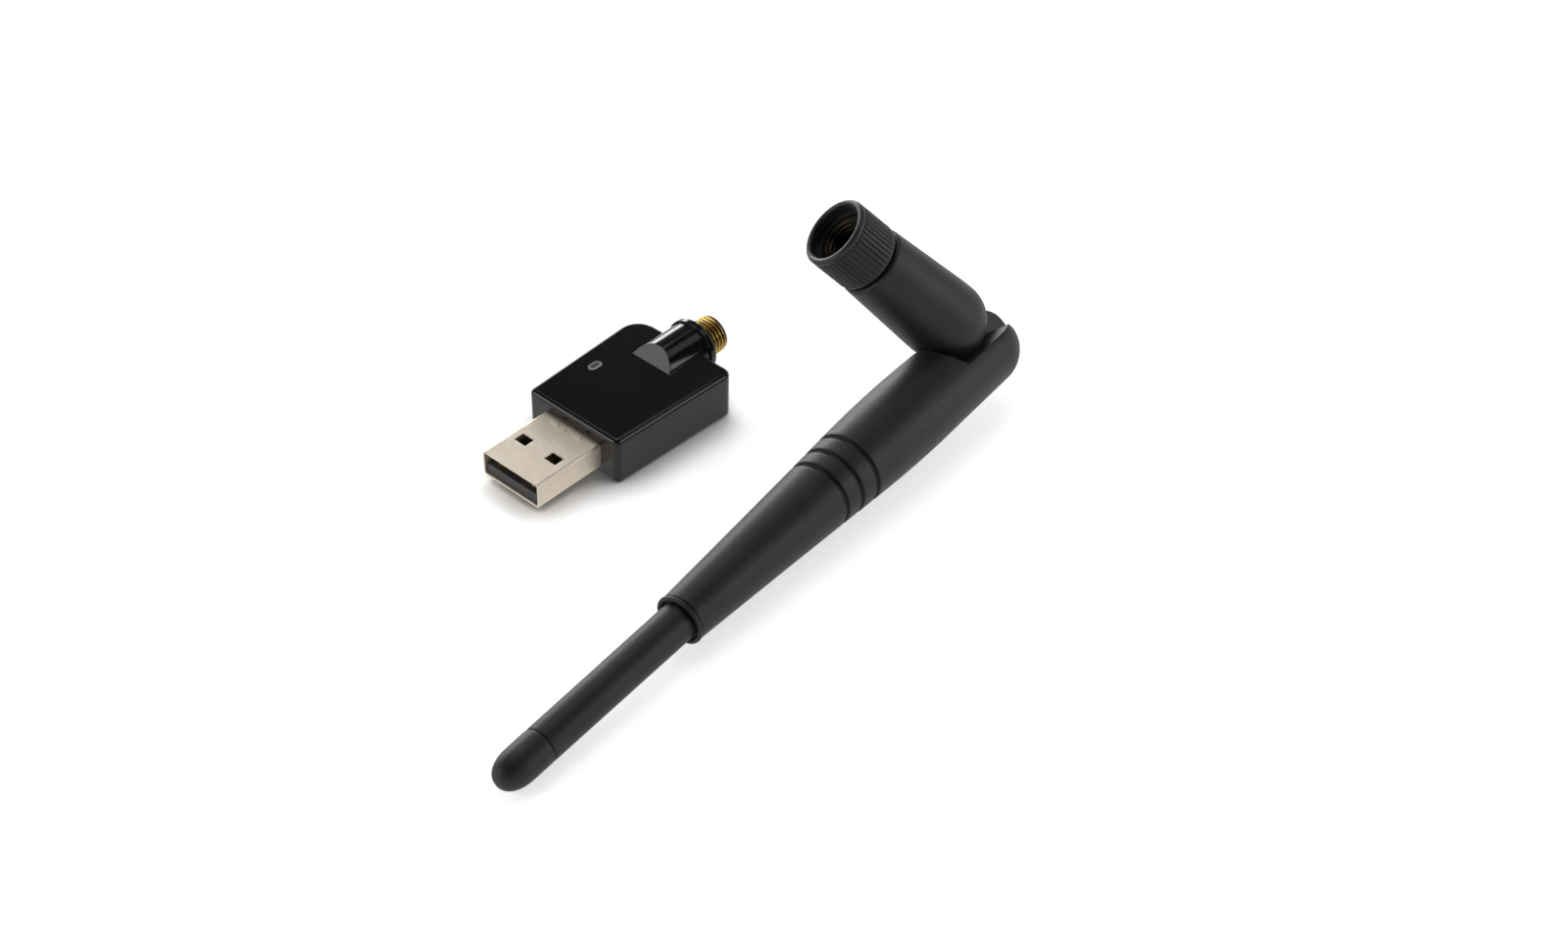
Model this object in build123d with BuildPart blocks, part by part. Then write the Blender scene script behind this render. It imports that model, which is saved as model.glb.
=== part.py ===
# USB radio adapter and its detached hinged antenna, in millimetres.
# Adapter: X runs from the plug's open end (x = 0) back to the antenna jack, Z is up, and the
# plug's centre line is y = z = 0. Left is +Y, right is -Y.
# Antenna: beside the adapter, on its -Y side. The whip runs from the hinge towards -X; the
# base rises from the same hinge to its coupling nut. Both are laid out by station, the
# distance from the hinge centre along their own axis.
from build123d import *
import os
from math import cos, sin, radians, sqrt

os.makedirs("parts", exist_ok=True)

# ---------------------------------------------------------------- adapter dimensions
# USB-A plug
PLUG_W, PLUG_H, PLUG_T = 12.0, 4.5, 0.3      # shell width, height, sheet thickness
PLUG_EXPOSED = 13.1                          # shell length in front of the housing
PLUG_DEPTH = 18.0                            # whole length of the shell

# housing
BODY_X0, BODY_LEN = PLUG_EXPOSED, 24.9
BODY_X1 = BODY_X0 + BODY_LEN
FRONT_W, BACK_W = 19.1, 21.1                 # it widens slightly towards the jack
BODY_TOP, BODY_BOTTOM, BODY_SPLIT = 4.5, -3.75, -0.9
WALL = 1.1
CEILING = BODY_TOP - WALL
FLOOR = BODY_BOTTOM + WALL
BACK_LEFT_R, BACK_RIGHT_R, FRONT_R = 3.8, 1.6, 1.0    # plan radii of the corners
TOP_EDGE_R, BOTTOM_EDGE_R = 0.85, 0.5
OPENING_W, OPENING_H, OPENING_R = PLUG_W + 0.1, PLUG_H + 0.1, 0.6

# round boss on the housing, and the jack in it
BOSS_R, BOSS_Z = 4.35, 2.75
BOSS_X0, BOSS_X1 = 30.4, 40.65
BOSS_ROOT_X = BOSS_X0 - 2.0                  # start of the cylinder, before the facet is cut
BOSS_SLOPE_X = 1.95                          # length of the sloping facet along X
BOSS_TOP = BOSS_Z + BOSS_R
RIM_R, RIM_L, RIM_EDGE_R = 4.7, 1.3, 0.5     # low collar round the boss's end
JACK_R, JACK_X1 = 3.175, 44.9                # 1/4 inch - 36 thread, outside radius
JACK_NECK_R = 2.6                            # barrel inside the boss
JACK_RECESS_X = JACK_X1 - 1.95               # bottom of the recess in the jack's end
FIT = 0.02                                   # small gap between fitted pieces

# circuit board
PCB_X0, PCB_X1, PCB_HALF_W, PCB_Z0, PCB_T = 18.3, 35.9, 7.6, 0.05, 1.0
PCB_TOP = PCB_Z0 + PCB_T
TOP_SEAT = PCB_TOP + FIT                     # where components sit above the board
UNDER_SEAT = PCB_Z0 - FIT                    # and below it

# status light and the oval hole over it
LED_XY = (24.3, 6.3)
WINDOW_L, WINDOW_W = 2.5, 1.5

# ---------------------------------------------------------------- antenna dimensions
HINGE = Vector(69.33, -34.83, 3.90)
WHIP_AZ, WHIP_EL = -176.2085, -2.5444        # azimuth and elevation, hinge to tip
BASE_AZ, BASE_EL = 141.8272, 46.0151         # hinge to nut mouth
WHIP_LEN = 112.3
SLEEVE_S1, ROD_S0, CAP_S = 74.9, 60.6, 103.9      # sleeve's end, rod's start, rod's end
WHIP_END_R, WHIP_MAX_R = 6.3, 6.56
ROD_R0, ROD_R1, ROD_BORE_R = 3.0, 2.85, 2.05      # rod at the sleeve, at the cap, and its bore
BASE_R0, BASE_R1 = 6.7, 5.8
BASE_DOME_S = 9.0                            # centre of the base's domed end
SWIVEL_R = 3.2                               # connector's shank in the base's mouth
TONGUE_R, TONGUE_T = 6.15, 3.0               # disc on the base, between the whip's two cheeks
FORK_T = 3.1                                 # slot between the cheeks
CHEEK_Y = -2.3                               # the cheeks end here, beside the pin
PIN_R = 1.25
RUN = 0.05                                   # running clearance, radial
CABLE_R = 0.9


def direction(azimuth, elevation):
    az, el = radians(azimuth), radians(elevation)
    return Vector(cos(az) * cos(el), sin(az) * cos(el), sin(el))


whip_dir = direction(WHIP_AZ, WHIP_EL)
base_dir = direction(BASE_AZ, BASE_EL)
pin_dir = base_dir.cross(whip_dir).normalized()       # towards the hinge's upper side
COS_FOLD = base_dir.dot(whip_dir)
SIN_FOLD = sqrt(1 - COS_FOLD * COS_FOLD)
COS_45 = cos(radians(45))

# Planes square to the pin, local x along the whip or the base. The base lies on the whip's
# -y side, and the whip on the base's +y side.
whip_plane = Plane(origin=HINGE, x_dir=whip_dir, z_dir=pin_dir)
base_plane = Plane(origin=HINGE, x_dir=base_dir, z_dir=pin_dir)
# cross-sections at the hinge, offset by a station; the boss's is offset by x
whip_section = Plane(origin=HINGE, x_dir=pin_dir, z_dir=whip_dir)
base_section = Plane(origin=HINGE, x_dir=pin_dir, z_dir=base_dir)
boss_section = Plane(origin=(0, 0, BOSS_Z), x_dir=(0, 1, 0), z_dir=(1, 0, 0))
whip_axis = Axis(HINGE, whip_dir)
base_axis = Axis(HINGE, base_dir)


# ---------------------------------------------------------------- shared builders
def export_piece(builder, name):
    piece = builder.part
    piece.label = name
    export_step(piece, f"parts/{name}.step")


def export_tube(name, plane, length, outer_r, bore_r=None):
    """A round bar from the plane, or a tube if it has a bore."""
    with BuildPart() as tube:
        with BuildSketch(plane):
            Circle(outer_r)
            if bore_r:
                Circle(bore_r, mode=Mode.SUBTRACT)
        extrude(amount=length)
    export_piece(tube, name)


def export_turned(name, plane, axis, outline):
    """A closed (station, radius) outline revolved round its axis."""
    with BuildPart() as turned:
        with BuildSketch(plane):
            with BuildLine():
                Polyline(*outline, close=True)
            make_face()
        revolve(axis=axis)
    export_piece(turned, name)


def export_boxes(name, z, centres, size, height):
    """Equal blocks on one level, standing up or hanging down (negative height)."""
    with BuildPart() as boxes:
        with BuildSketch(Plane.XY.offset(z)):
            with Locations(*centres):
                Rectangle(*size)
        extrude(amount=height)
    export_piece(boxes, name)


def housing_plan(inset):
    """Plan outline of the housing, moved inwards by the inset."""
    front_x, back_x = BODY_X0 + inset, BODY_X1 - inset
    front_y, back_y = FRONT_W / 2 - inset, BACK_W / 2 - inset
    with BuildSketch() as sketch:
        with BuildLine():
            Polyline((front_x, -front_y), (back_x, -back_y),
                     (back_x, back_y), (front_x, front_y), close=True)
        make_face()
        back = sketch.vertices().group_by(Axis.X)[-1].sort_by(Axis.Y)
        fillet(back[-1], BACK_LEFT_R - inset)
        back = sketch.vertices().group_by(Axis.X)[-1].sort_by(Axis.Y)
        fillet(back[0], max(BACK_RIGHT_R - inset, 0.6))
        fillet(sketch.vertices().group_by(Axis.X)[0], FRONT_R - inset * 0.3)
    return sketch.sketch


def inner_y(x):
    """Half width between the side walls at x."""
    slope = (BACK_W - FRONT_W) / 2 / (BODY_LEN - 2 * WALL)
    return FRONT_W / 2 - WALL + slope * (x - BODY_X0 - WALL)


outer_plan = housing_plan(0)
inner_plan = housing_plan(WALL)

# ================================================================ adapter housing
# ---- upper shell, with the round boss standing out of its top and back
FACET_CUT_W = 30.0
FACET_OVERRUN = 0.6                          # the cut's slope runs on by this share
BELOW_SPLIT = 3.0                            # the hollow is cut from this far below the split
JACK_BORE_X0 = 33.4

with BuildPart() as upper_shell:
    with BuildSketch(Plane.XY.offset(BODY_SPLIT)):
        add(outer_plan)
    extrude(amount=BODY_TOP - BODY_SPLIT)
    fillet(upper_shell.edges().group_by(Axis.Z)[-1], TOP_EDGE_R)
    # boss and its collar
    with BuildSketch(boss_section.offset(BOSS_ROOT_X)):
        Circle(BOSS_R)
    extrude(amount=BOSS_X1 - BOSS_ROOT_X)
    with BuildSketch(boss_section.offset(BOSS_X1 - RIM_L)):
        Circle(RIM_R)
    extrude(amount=RIM_L)
    fillet(upper_shell.edges().group_by(Axis.X)[-1], RIM_EDGE_R)
    # sloping front facet of the boss
    with BuildSketch(Plane.XZ.offset(-FACET_CUT_W / 2)):
        with BuildLine():
            Polyline((BOSS_X0, BODY_TOP), (BOSS_X0 + BOSS_SLOPE_X, BOSS_TOP),
                     (BOSS_X0 + BOSS_SLOPE_X * (1 + FACET_OVERRUN),
                      BOSS_TOP + (BOSS_TOP - BODY_TOP) * FACET_OVERRUN),
                     (BOSS_X0 - 5, BOSS_TOP + 2), (BOSS_X0 - 5, BODY_TOP), close=True)
        make_face()
    extrude(amount=FACET_CUT_W, mode=Mode.SUBTRACT)
    # the boss keeps clear of the lower shell
    with BuildSketch(Plane.XY.offset(BODY_SPLIT)):
        with Locations((BODY_X0 + BODY_LEN / 2, 0)):
            Rectangle(BODY_LEN - 2 * WALL, BACK_W * 2)
    extrude(amount=-6, mode=Mode.SUBTRACT)
    # hollow inside
    with BuildSketch(Plane.XY.offset(BODY_SPLIT - BELOW_SPLIT)):
        add(inner_plan)
    extrude(amount=CEILING - BODY_SPLIT + BELOW_SPLIT, mode=Mode.SUBTRACT)
    # bore for the jack's barrel
    with BuildSketch(boss_section.offset(JACK_BORE_X0)):
        Circle(JACK_NECK_R + FIT)
    extrude(amount=20, mode=Mode.SUBTRACT)
    # opening for the plug shell
    with BuildSketch(Plane.YZ.offset(BODY_X0 - 1)):
        RectangleRounded(OPENING_W, OPENING_H, OPENING_R)
    extrude(amount=WALL + 2, mode=Mode.SUBTRACT)
    # oval hole for the light window
    with BuildSketch(Plane.XY.offset(BODY_TOP - 3)):
        with Locations(LED_XY):
            SlotOverall(WINDOW_L, WINDOW_W)
    extrude(amount=5, mode=Mode.SUBTRACT)
export_piece(upper_shell, "upper_shell")

# ---- lower shell, with locating lips and board rests
LIP_X0, LIP_X1, LIP_T = 16.8, 32.0, 0.55
# start z, reach beyond the inner wall face, height: root in the wall, then the free lip
LIP_LAYERS = ((BODY_SPLIT - 0.8, 0.3, 0.8), (BODY_SPLIT, -0.05, 0.6))
REST_CENTRES = ((21.6, 7.0), (21.6, -7.0), (33.0, 5.6), (33.0, -7.0))
REST_SIZE, REST_GAP = (1.6, 1.2), 0.01

with BuildPart() as lower_shell:
    with BuildSketch(Plane.XY.offset(BODY_BOTTOM)):
        add(outer_plan)
    extrude(amount=BODY_SPLIT - BODY_BOTTOM)
    fillet(lower_shell.edges().group_by(Axis.Z)[0], BOTTOM_EDGE_R)
    with BuildSketch(Plane.XY.offset(FLOOR)):
        add(inner_plan)
    extrude(amount=10, mode=Mode.SUBTRACT)
    for lip_z, reach, lip_height in LIP_LAYERS:
        with BuildSketch(Plane.XY.offset(lip_z)):
            for side in (1, -1):
                with BuildLine():
                    Polyline((LIP_X0, side * (inner_y(LIP_X0) + reach)),
                             (LIP_X1, side * (inner_y(LIP_X1) + reach)),
                             (LIP_X1, side * (inner_y(LIP_X1) - LIP_T)),
                             (LIP_X0, side * (inner_y(LIP_X0) - LIP_T)), close=True)
                make_face()
        extrude(amount=lip_height)
    # board rests
    with BuildSketch(Plane.XY.offset(FLOOR)):
        with Locations(*REST_CENTRES):
            Rectangle(*REST_SIZE)
    extrude(amount=PCB_Z0 - FLOOR - REST_GAP)
    # opening for the plug shell
    with BuildSketch(Plane.YZ.offset(BODY_X0 - 1)):
        RectangleRounded(OPENING_W, OPENING_H, OPENING_R)
    extrude(amount=WALL + 2, mode=Mode.SUBTRACT)
    # clearance under the boss
    with BuildSketch(boss_section.offset(BODY_X1 - 8)):
        Circle(BOSS_R + FIT)
    extrude(amount=12, mode=Mode.SUBTRACT)
export_piece(lower_shell, "lower_shell")

# ================================================================ USB plug
# ---- steel shell, open at both ends
SHIELD_OUTER_R, SHIELD_INNER_R = 0.55, 0.3
LATCH_X, LATCH_Y, LATCH_SIZE = 6.05, 3.24, (1.95, 2.4)
LANCE_X, LANCE_YS, LANCE_R = 11.55, (2.6, -2.3), 0.8
LANCE_CUT_X, LANCE_CUT_SIZE = 11.0, (1.1, 2.0)
DOT_XY, DOT_R = (11.6, 0.15), 0.28

with BuildPart() as usb_shield:
    with BuildSketch(Plane.YZ):
        RectangleRounded(PLUG_W, PLUG_H, SHIELD_OUTER_R)
        RectangleRounded(PLUG_W - 2 * PLUG_T, PLUG_H - 2 * PLUG_T, SHIELD_INNER_R,
                         mode=Mode.SUBTRACT)
    extrude(amount=PLUG_DEPTH)
    # latch windows through the top and the bottom sheet
    with BuildSketch(Plane.XY.offset(-5)):
        with Locations((LATCH_X, LATCH_Y), (LATCH_X, -LATCH_Y)):
            Rectangle(*LATCH_SIZE)
    extrude(amount=10, mode=Mode.SUBTRACT)
    # two part-round lances and a raised dot on the top sheet, near the housing
    with BuildSketch(Plane.XY.offset(PLUG_H / 2 - 0.1)):
        with Locations(*[(LANCE_X, y) for y in LANCE_YS]):
            Circle(LANCE_R)
        with Locations(*[(LANCE_CUT_X, y) for y in LANCE_YS]):
            Rectangle(*LANCE_CUT_SIZE, mode=Mode.SUBTRACT)
        with Locations(DOT_XY):
            Circle(DOT_R)
    extrude(amount=0.25)
export_piece(usb_shield, "usb_shield")

# ---- moulded tongue and block, with slots for the four contacts
USB_TONGUE_TOP = -0.10
USB_TONGUE_X0, USB_TONGUE_L = 0.35, 8.6
BLOCK_X0, BLOCK_X1 = 8.9, 17.2
INSULATOR_HALF_H = PLUG_H / 2 - PLUG_T - 0.01
CONTACT_PAIRS = ((1.25, 3.5), (2.25, 1.0))   # front x, distance from the centre line
CONTACT_X1, CONTACT_W, CONTACT_T = 20.4, 1.0, 0.19
SLOT_X1, SLOT_END_GAP = 18.2, 0.05

with BuildPart() as usb_insulator:
    with BuildSketch(Plane.YZ.offset(USB_TONGUE_X0)):
        with Locations((0, (USB_TONGUE_TOP - INSULATOR_HALF_H) / 2)):
            Rectangle(PLUG_W - 2 * PLUG_T - 0.5, USB_TONGUE_TOP + INSULATOR_HALF_H)
    extrude(amount=USB_TONGUE_L)
    with BuildSketch(Plane.YZ.offset(BLOCK_X0)):
        Rectangle(PLUG_W - 2 * PLUG_T - 0.62, 2 * INSULATOR_HALF_H)
    extrude(amount=BLOCK_X1 - BLOCK_X0)
    with BuildSketch(Plane.XY.offset(USB_TONGUE_TOP + 0.09)):
        for contact_x0, contact_y in CONTACT_PAIRS:
            slot_x0 = contact_x0 - SLOT_END_GAP
            slot_mid = (slot_x0 + SLOT_X1) / 2
            with Locations((slot_mid, contact_y), (slot_mid, -contact_y)):
                Rectangle(SLOT_X1 - slot_x0, CONTACT_W + FIT)
    extrude(amount=-0.21, mode=Mode.SUBTRACT)
export_piece(usb_insulator, "usb_insulator")

# ---- four flat contacts, the outer pair longer than the inner pair
with BuildPart() as usb_contacts:
    with BuildSketch(Plane.XY.offset(USB_TONGUE_TOP - 0.11)):
        for contact_x0, contact_y in CONTACT_PAIRS:
            contact_mid = (contact_x0 + CONTACT_X1) / 2
            with Locations((contact_mid, contact_y), (contact_mid, -contact_y)):
                Rectangle(CONTACT_X1 - contact_x0, CONTACT_W)
    extrude(amount=CONTACT_T)
export_piece(usb_contacts, "usb_contacts")

# ================================================================ circuit board
# ---- board, notched and chamfered at its back end
NOTCH_SIZE = (5.2, 5.6)                      # centred on the back edge
BOARD_CHAMFER = 2.2

with BuildPart() as circuit_board:
    with BuildSketch(Plane.XY.offset(PCB_Z0)):
        with Locations(((PCB_X0 + PCB_X1) / 2, 0)):
            Rectangle(PCB_X1 - PCB_X0, 2 * PCB_HALF_W)
        with Locations((PCB_X1, 0)):
            Rectangle(*NOTCH_SIZE, mode=Mode.SUBTRACT)
    extrude(amount=PCB_T)
    back_edges = circuit_board.edges().filter_by(Axis.Z).group_by(Axis.X)[-1].sort_by(Axis.Y)
    chamfer([back_edges[0], back_edges[-1]], BOARD_CHAMFER)
export_piece(circuit_board, "circuit_board")

# ---- radio chip
CHIP_XY, CHIP_SIDE, CHIP_H, CHIP_CHAMFER = (24.6, -0.6), 6.0, 0.85, 0.1

with BuildPart() as wifi_chip:
    with BuildSketch(Plane.XY.offset(TOP_SEAT)):
        with Locations(CHIP_XY):
            Rectangle(CHIP_SIDE, CHIP_SIDE)
    extrude(amount=CHIP_H)
    chamfer(wifi_chip.edges().group_by(Axis.Z)[-1], CHIP_CHAMFER)
export_piece(wifi_chip, "wifi_chip")

# ---- metal can crystal
CRYSTAL_XY, CRYSTAL_L, CRYSTAL_W, CRYSTAL_R, CRYSTAL_H = (20.6, -5.2), 3.2, 2.5, 0.4, 0.7

with BuildPart() as crystal:
    with BuildSketch(Plane.XY.offset(TOP_SEAT)):
        with Locations(CRYSTAL_XY):
            RectangleRounded(CRYSTAL_L, CRYSTAL_W, CRYSTAL_R)
    extrude(amount=CRYSTAL_H)
export_piece(crystal, "crystal")

# ---- plain block components
CAPACITOR_CENTRES = (
    (29.3, 1.8), (29.3, 0.4), (29.3, -1.0), (29.3, -2.4), (23.2, -5.2),
    (25.0, -5.2), (26.8, -5.2), (22.6, 3.6), (20.4, 1.2), (20.4, -0.4))
INDUCTOR_CENTRES = ((30.8, 3.4), (30.8, -3.4), (31.0, 0.0))
MEMORY_CENTRE = (28.4, -3.4)                 # under the board

export_boxes("chip_capacitors", TOP_SEAT, CAPACITOR_CENTRES, size=(1.0, 0.5), height=0.5)
export_boxes("chip_inductors", TOP_SEAT, INDUCTOR_CENTRES, size=(1.6, 0.8), height=0.8)
export_boxes("memory_chip", UNDER_SEAT, [MEMORY_CENTRE], size=(4.9, 3.9), height=-1.2)
export_boxes("status_led", TOP_SEAT, [LED_XY], size=(1.6, 0.8), height=0.6)

# ---- voltage regulator under the board, with five legs
REGULATOR_X, REGULATOR_Y, LEG_PITCH, LEG_REACH = 24.0, 4.2, 0.95, 1.1
# leg places in pitches along X and reaches along Y
LEG_PLACES = ((-1, 1), (0, 1), (1, 1), (-1, -1), (1, -1))
REGULATOR_SIZE, REGULATOR_H = (2.9, 1.6), 1.1
LEG_SIZE, LEG_T = (0.4, 0.7), 0.2

with BuildPart() as regulator:
    with BuildSketch(Plane.XY.offset(UNDER_SEAT)):
        with Locations((REGULATOR_X, REGULATOR_Y)):
            Rectangle(*REGULATOR_SIZE)
    extrude(amount=-REGULATOR_H)
    with BuildSketch(Plane.XY.offset(UNDER_SEAT)):
        with Locations(*[(REGULATOR_X + i * LEG_PITCH, REGULATOR_Y + j * LEG_REACH)
                         for i, j in LEG_PLACES]):
            Rectangle(*LEG_SIZE)
    extrude(amount=-LEG_T)
export_piece(regulator, "regulator")

# ---- clear window over the status light: a flange under the ceiling and a stem in the hole
FLANGE_Z, STEM_Z = PCB_TOP + 0.75, PCB_TOP + 1.0
FLANGE_EXTRA = 0.6                           # flange size over the hole's
STEM_RECESS = 0.06                           # below the housing's top

with BuildPart() as light_pipe:
    with BuildSketch(Plane.XY.offset(FLANGE_Z)):
        with Locations(LED_XY):
            SlotOverall(WINDOW_L + FLANGE_EXTRA, WINDOW_W + FLANGE_EXTRA)
    extrude(amount=CEILING - FIT - FLANGE_Z)
    with BuildSketch(Plane.XY.offset(STEM_Z)):
        with Locations(LED_XY):
            SlotOverall(WINDOW_L - FIT, WINDOW_W - FIT)
    extrude(amount=BODY_TOP - STEM_RECESS - STEM_Z)
export_piece(light_pipe, "light_pipe")

# ================================================================ antenna jack
# ---- barrel with its wider end for the thread, and two ground legs on the board
JACK_BORE_R, JACK_RECESS_R = 2.05, 2.35
# x, radius
JACK_OUTLINE = (
    (33.6, JACK_BORE_R), (33.6, 2.3), (36.0, 2.3), (36.0, JACK_NECK_R),
    (BOSS_X1 + 0.1, JACK_NECK_R), (BOSS_X1 + 0.1, JACK_R),
    (JACK_X1 - 0.4, JACK_R), (JACK_X1, JACK_R - 0.4), (JACK_X1, JACK_RECESS_R),
    (JACK_RECESS_X, JACK_RECESS_R), (JACK_RECESS_X, JACK_BORE_R))
JACK_LEG_X, JACK_LEG_Y, JACK_LEG_SIZE, JACK_LEG_H = 32.75, 1.5, (1.8, 0.7), 0.9

with BuildPart() as antenna_jack_body:
    with BuildSketch(Plane.XZ):
        with BuildLine():
            Polyline(*[(x, BOSS_Z + radius) for x, radius in JACK_OUTLINE], close=True)
        make_face()
    revolve(axis=Axis((0, 0, BOSS_Z), (1, 0, 0)))
    with BuildSketch(Plane.XY.offset(TOP_SEAT)):
        with Locations((JACK_LEG_X, JACK_LEG_Y), (JACK_LEG_X, -JACK_LEG_Y)):
            Rectangle(*JACK_LEG_SIZE)
    extrude(amount=JACK_LEG_H)
export_piece(antenna_jack_body, "antenna_jack_body")

# ---- insulator round the centre contact
JACK_CONTACT_R = 0.46
DIELECTRIC_X0 = 33.8

export_tube("jack_dielectric", boss_section.offset(DIELECTRIC_X0),
            length=JACK_RECESS_X - DIELECTRIC_X0,
            outer_r=JACK_BORE_R - 0.01, bore_r=JACK_CONTACT_R + 0.01)

# ---- centre contact with a square tail down to the board
JACK_CONTACT_X0, TAIL_X, TAIL_SIDE = 32.4, 32.7, 0.6

with BuildPart() as jack_center_contact:
    with BuildSketch(boss_section.offset(JACK_CONTACT_X0)):
        Circle(JACK_CONTACT_R)
    extrude(amount=JACK_X1 - 0.5 - JACK_CONTACT_X0)
    with BuildSketch(Plane.XY.offset(TOP_SEAT)):
        with Locations((TAIL_X, 0)):
            Rectangle(TAIL_SIDE, TAIL_SIDE)
    extrude(amount=BOSS_Z - PCB_TOP)
export_piece(jack_center_contact, "jack_center_contact")

# ================================================================ antenna whip
# ---- tapered sleeve: rounded hinge end, three grooves, recessed mouth for the rod
SHOULDER_GAP = BASE_R0 + 0.2                 # oblique shoulder that clears the folded base
DOME_HOLLOW_R = BASE_R0 + 0.15
CUT_REACH, CUT_HALF = 14.0, 12.0             # far side and half depth of the fold-side cut
CABLE_WAY_R = 1.6
GROOVES = ((35.45, 6.06), (39.05, 5.84), (42.45, 5.64))    # station, centre radius
GROOVE_SIZE = (0.95, 1.0)
WASHER_SEAT_R, WASHER_SEAT_DEPTH = 2.0, 0.42
PIN_BORE_TOP = 4.2                           # blind end, in the upper cheek
HEAD_POCKET_R, HEAD_POCKET_TOP = 1.75, -4.6
# station, radius
SLEEVE_TAPER = (
    (0, WHIP_END_R), (10, 6.42), (21, WHIP_MAX_R), (28, 6.42), (34.35, 6.12),
    (41.35, 5.70), (56, 4.88), (SLEEVE_S1 - 0.9, 3.93))
SLEEVE_MOUTH = (
    (SLEEVE_S1 - 0.9, 3.93), (SLEEVE_S1 - 0.84, 3.74), (SLEEVE_S1 - 0.66, 3.74),
    (SLEEVE_S1 - 0.6, 4.03), (SLEEVE_S1 - 0.15, 4.03), (SLEEVE_S1, 3.9), (SLEEVE_S1, 3.45),
    (SLEEVE_S1 - 1.0, 3.38), (SLEEVE_S1 - 1.0, ROD_R0 + 0.01), (ROD_S0 - 0.1, ROD_R0 + 0.01),
    (ROD_S0 - 0.1, CABLE_WAY_R), (10.5, CABLE_WAY_R), (9.6, 0), (-WHIP_END_R, 0))

with BuildPart() as whip_sleeve:
    with BuildSketch(whip_plane):
        with BuildLine():
            ThreePointArc((-WHIP_END_R, 0), (-WHIP_END_R * COS_45, WHIP_END_R * COS_45),
                          (0, WHIP_END_R))
            Spline(*SLEEVE_TAPER, tangents=((1, 0), (1, -0.052)))
            Polyline(*SLEEVE_MOUTH)
        make_face()
    revolve(axis=whip_axis)
    for groove in GROOVES:
        with BuildSketch(whip_plane):
            with Locations(groove):
                Rectangle(*GROOVE_SIZE)
        revolve(axis=whip_axis, mode=Mode.SUBTRACT)
    # the side the base folds into: open down to the cheeks' edge, with an oblique shoulder
    with BuildSketch(whip_plane.offset(-CUT_HALF)):
        with BuildLine():
            Polyline(((SHOULDER_GAP - COS_FOLD * CHEEK_Y) / SIN_FOLD, CHEEK_Y),
                     ((SHOULDER_GAP + COS_FOLD * CUT_REACH) / SIN_FOLD, -CUT_REACH),
                     (-CUT_REACH, -CUT_REACH), (-CUT_REACH, CHEEK_Y), close=True)
        make_face()
    extrude(amount=2 * CUT_HALF, mode=Mode.SUBTRACT)
    # hollow swept by the base's domed end as it opens to straight
    with Locations(Plane(origin=HINGE, x_dir=-whip_dir, z_dir=pin_dir)):
        Torus(BASE_DOME_S, DOME_HOLLOW_R, major_angle=80, align=None, mode=Mode.SUBTRACT)
    with Locations(Plane(origin=HINGE - whip_dir * BASE_DOME_S, x_dir=-whip_dir, z_dir=pin_dir)):
        Sphere(DOME_HOLLOW_R, mode=Mode.SUBTRACT)
    # slot for the tongue
    with BuildSketch(whip_plane.offset(-FORK_T / 2)):
        Circle(TONGUE_R + 0.3)
    extrude(amount=FORK_T, mode=Mode.SUBTRACT)
    # washer seat, pin bore and the pin head's pocket
    with BuildSketch(whip_plane.offset(-FORK_T / 2)):
        Circle(WASHER_SEAT_R)
    extrude(amount=-WASHER_SEAT_DEPTH, mode=Mode.SUBTRACT)
    with BuildSketch(whip_plane.offset(-CUT_HALF)):
        Circle(PIN_R + RUN)
    extrude(amount=CUT_HALF + PIN_BORE_TOP, mode=Mode.SUBTRACT)
    with BuildSketch(whip_plane.offset(-CUT_HALF)):
        Circle(HEAD_POCKET_R)
    extrude(amount=CUT_HALF + HEAD_POCKET_TOP, mode=Mode.SUBTRACT)
export_piece(whip_sleeve, "whip_sleeve")

# ---- thin tube that carries the radiator
ROD_OUTLINE = (
    (ROD_S0, ROD_BORE_R), (ROD_S0, ROD_R0), (SLEEVE_S1 + 1, ROD_R0),
    (CAP_S, ROD_R1), (CAP_S, ROD_BORE_R))
export_turned("whip_rod", whip_plane, whip_axis, ROD_OUTLINE)

# ---- rounded cap plugged into the rod's end
CAP_PLUG_R, CAP_PLUG_L = ROD_BORE_R - 0.01, 3.0
CAP_ROUND_S = CAP_S + 4.4                    # the rounding starts here

with BuildPart() as tip_cap:
    with BuildSketch(whip_plane):
        with BuildLine():
            Polyline((CAP_ROUND_S, ROD_R1), (CAP_S + 0.3, ROD_R1), (CAP_S + FIT, ROD_R1 - 0.2),
                     (CAP_S + FIT, CAP_PLUG_R), (CAP_S - CAP_PLUG_L, CAP_PLUG_R),
                     (CAP_S - CAP_PLUG_L, 0), (WHIP_LEN, 0))
            Spline((WHIP_LEN, 0), (WHIP_LEN - 0.45, 1.35), (WHIP_LEN - 1.9, 2.35),
                   (CAP_ROUND_S, ROD_R1), tangents=((0, 1), (-1, 0)))
        make_face()
    revolve(axis=whip_axis)
export_piece(tip_cap, "tip_cap")

# ---- half-wave sleeve dipole inside the rod: brass tube, cable, crimp ring, centre wire
TUBE_S0, TUBE_S1, TUBE_BORE_R = 62.0, 84.0, 1.75
CABLE_S0, RING_L = 10.8, 3.0
WIRE_S0, WIRE_S1, WIRE_R = 11.2, 100.0, 0.29
THICK_S0, THICK_S1, THICK_R = 84.2, 99.4, 0.55    # thicker stretch of the wire

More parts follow.
